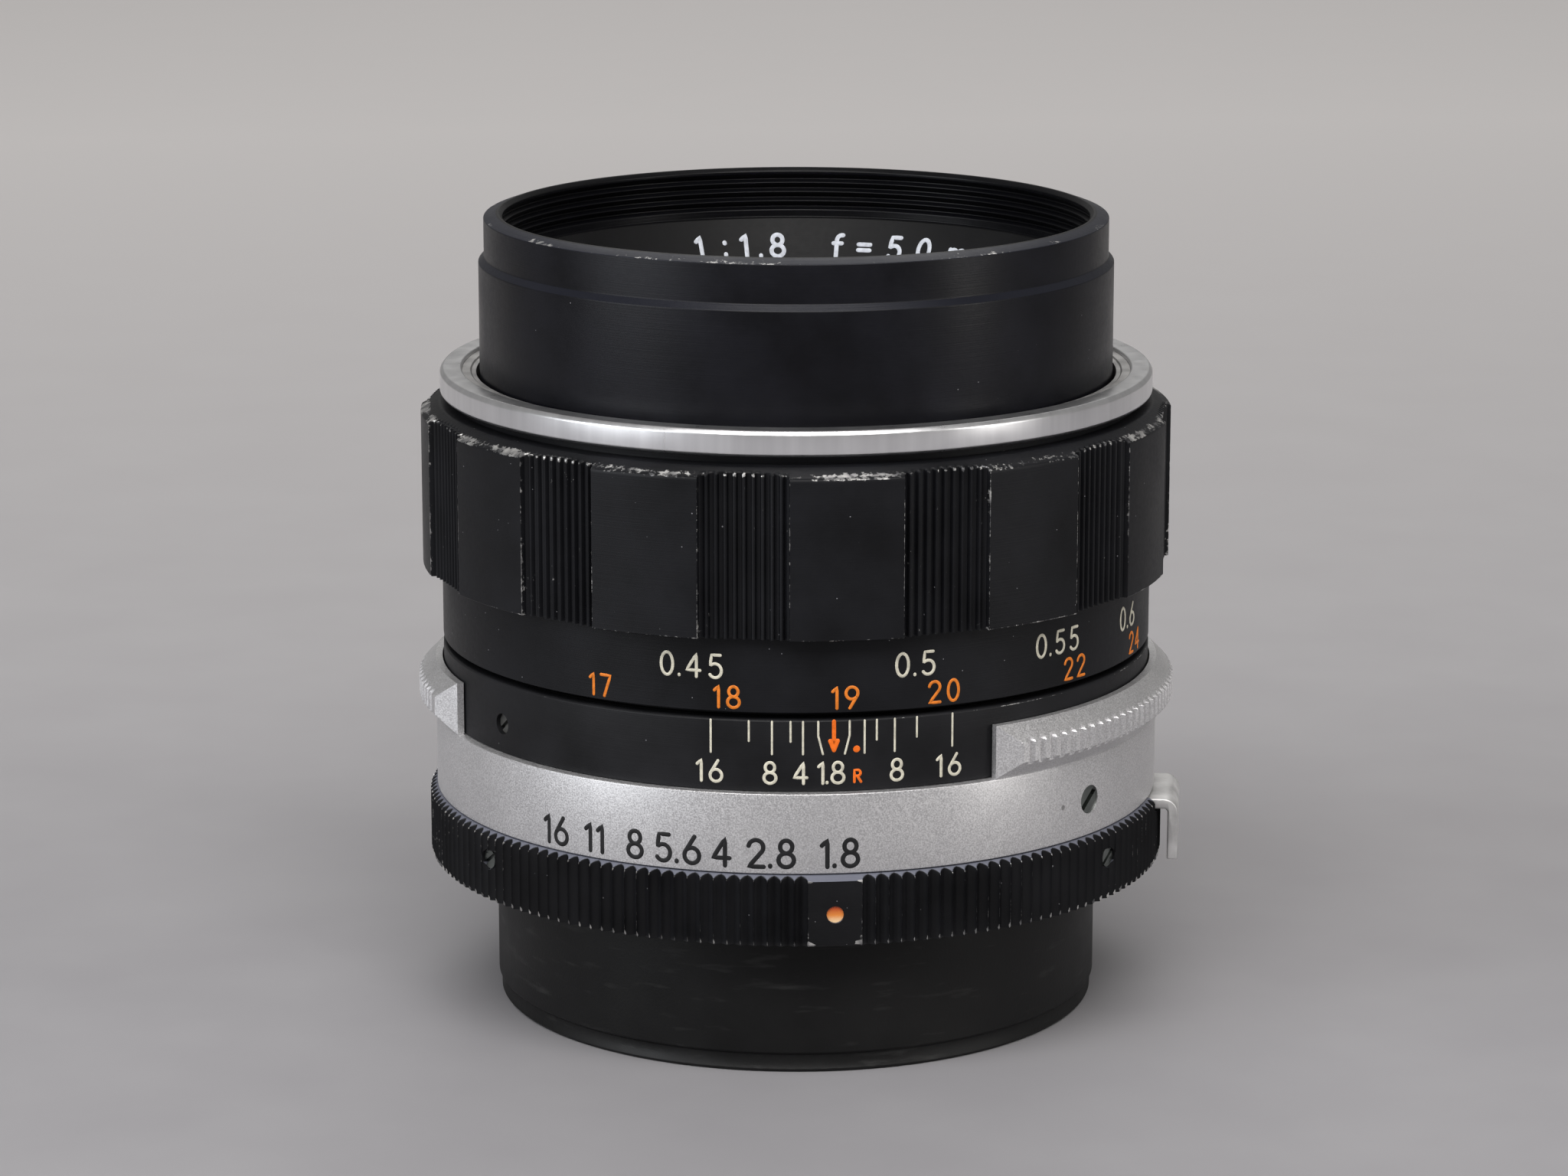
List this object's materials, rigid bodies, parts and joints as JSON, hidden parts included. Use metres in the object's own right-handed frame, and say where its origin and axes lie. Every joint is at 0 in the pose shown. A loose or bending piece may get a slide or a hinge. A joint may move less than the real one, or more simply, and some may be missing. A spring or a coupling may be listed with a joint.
{
  "type": "camera lens",
  "caption": "Manual-focus prime lens standing on its rear cap, with a fluted focus ring, a sliding barrel, a clicked aperture ring, an iris and a knurled mount ring.",
  "frame": {"origin": "centre of the rear cap's flat underside, on the optical axis", "axes": "+Z along the optical axis towards the front glass; the index line faces -Y; the coupling prong is on the +X side"},
  "size_m": [0.0599, 0.0582, 0.0619],
  "materials": {
    "barrel_black": "satin black anodised aluminium",
    "grip_black": "satin black, worn bright on its edges",
    "scale_black": "matt black with filled engraving",
    "name_black": "matt black with filled engraving",
    "bright_band": "polished aluminium",
    "seal_grey": "dull grey anodised",
    "aperture_silver": "satin silver, fine grained",
    "mount_black": "black anodised, knurled",
    "mount_steel": "bright turned brass, chromed",
    "steel": "plain steel",
    "black_screw": "blackened steel",
    "brass": "turned brass",
    "inner_black": "matt black anodised, inside",
    "blade_black": "blued spring steel",
    "index_orange": "orange enamel fill",
    "cap_plastic": "matt black moulded plastic",
    "coated_glass": "coated optical glass"
  },
  "bodies": {
    "root": {"main_housing": "inner_black", "depth_scale_ring": "scale_black", "depth_ring_screws": "black_screw", "mount_ring": "mount_black", "mount_ring_screws": "black_screw", "index_dot": "index_orange", "bayonet_plate": "mount_steel", "mount_screws": "steel", "guide_keys": "brass", "guide_key_screws": "steel", "click_ball": "steel", "click_spring": "steel", "focus_stop_pin": "steel"},
    "focus_ring": {"focus_grip": "grip_black", "bright_band": "bright_band", "dust_seal_ring": "seal_grey", "focus_sleeve": "brass", "sleeve_retaining_ring": "brass"},
    "lens_barrel": {"front_barrel": "barrel_black", "name_ring": "name_black", "inner_helicoid": "inner_black", "front_cell": "inner_black", "front_retaining_ring": "name_black", "front_spacer": "inner_black", "front_glass": "coated_glass", "second_glass": "coated_glass", "third_glass": "coated_glass", "fourth_glass": "coated_glass", "fifth_glass": "coated_glass", "rear_glass": "coated_glass", "rear_cell": "inner_black", "rear_spacer": "inner_black", "rear_retaining_ring": "inner_black", "iris_base_plate": "inner_black"},
    "iris_ring": {"iris_cam_ring": "brass", "iris_drive_lever": "steel"},
    "aperture_dial": {"aperture_ring": "aperture_silver", "aperture_drive_arm": "brass", "aperture_screw": "steel", "coupling_prong": "steel", "prong_screws": "steel"},
    "cap": {"rear_cap": "cap_plastic"},
    "blade_1": {"iris_blade_1": "blade_black"},
    "blade_2": {"iris_blade_2": "blade_black"},
    "blade_3": {"iris_blade_3": "blade_black"},
    "blade_4": {"iris_blade_4": "blade_black"},
    "blade_5": {"iris_blade_5": "blade_black"},
    "blade_6": {"iris_blade_6": "blade_black"}
  },
  "joints": [
    {"name": "focus_turn", "type": "hinge", "parent": "root", "child": "focus_ring", "pos_m": [0, 0, 0.0407], "axis": [0, 0, 1], "range_deg": [-245.5, 37.7]},
    {"name": "barrel_slide", "type": "slide", "parent": "root", "child": "lens_barrel", "axis": [0, 0, 1], "range_m": [-0.00669, 0.00103]},
    {"name": "aperture_turn", "type": "hinge", "parent": "root", "child": "aperture_dial", "pos_m": [0, 0, 0.0197], "axis": [0, 0, 1], "range_deg": [0, 45.15]},
    {"name": "iris_turn", "type": "hinge", "parent": "lens_barrel", "child": "iris_ring", "pos_m": [0, 0, 0.0323], "axis": [0, 0, 1], "range_deg": [0, 45.2]},
    {"name": "blade_1_swing", "type": "hinge", "parent": "lens_barrel", "child": "blade_1", "pos_m": [0.01192, -0.01155, 0.0332], "axis": [0, 0, 1], "range_deg": [0, 35.1]},
    {"name": "blade_2_swing", "type": "hinge", "parent": "lens_barrel", "child": "blade_2", "pos_m": [0.01597, 0.00455, 0.0332], "axis": [0, 0, 1], "range_deg": [0, 35.1]},
    {"name": "blade_3_swing", "type": "hinge", "parent": "lens_barrel", "child": "blade_3", "pos_m": [0.00404, 0.0161, 0.0332], "axis": [0, 0, 1], "range_deg": [0, 35.1]},
    {"name": "blade_4_swing", "type": "hinge", "parent": "lens_barrel", "child": "blade_4", "pos_m": [-0.01192, 0.01155, 0.0332], "axis": [0, 0, 1], "range_deg": [0, 35.1]},
    {"name": "blade_5_swing", "type": "hinge", "parent": "lens_barrel", "child": "blade_5", "pos_m": [-0.01597, -0.00455, 0.0332], "axis": [0, 0, 1], "range_deg": [0, 35.1]},
    {"name": "blade_6_swing", "type": "hinge", "parent": "lens_barrel", "child": "blade_6", "pos_m": [-0.00404, -0.0161, 0.0332], "axis": [0, 0, 1], "range_deg": [0, 35.1]},
    {"name": "cap_pull", "type": "slide", "parent": "root", "child": "cap", "axis": [0, 0, -1], "range_m": [0, 0.02]}
  ],
  "couplings": [
    {"joint": "barrel_slide", "follows": "focus_turn", "m_per_rad": 0.0015597},
    {"joint": "iris_turn", "follows": "aperture_turn", "ratio": 1},
    {"joint": "blade_1_swing", "follows": "aperture_turn", "ratio": 0.77652},
    {"joint": "blade_2_swing", "follows": "aperture_turn", "ratio": 0.77652},
    {"joint": "blade_3_swing", "follows": "aperture_turn", "ratio": 0.77652},
    {"joint": "blade_4_swing", "follows": "aperture_turn", "ratio": 0.77652},
    {"joint": "blade_5_swing", "follows": "aperture_turn", "ratio": 0.77652},
    {"joint": "blade_6_swing", "follows": "aperture_turn", "ratio": 0.77652}
  ]
}
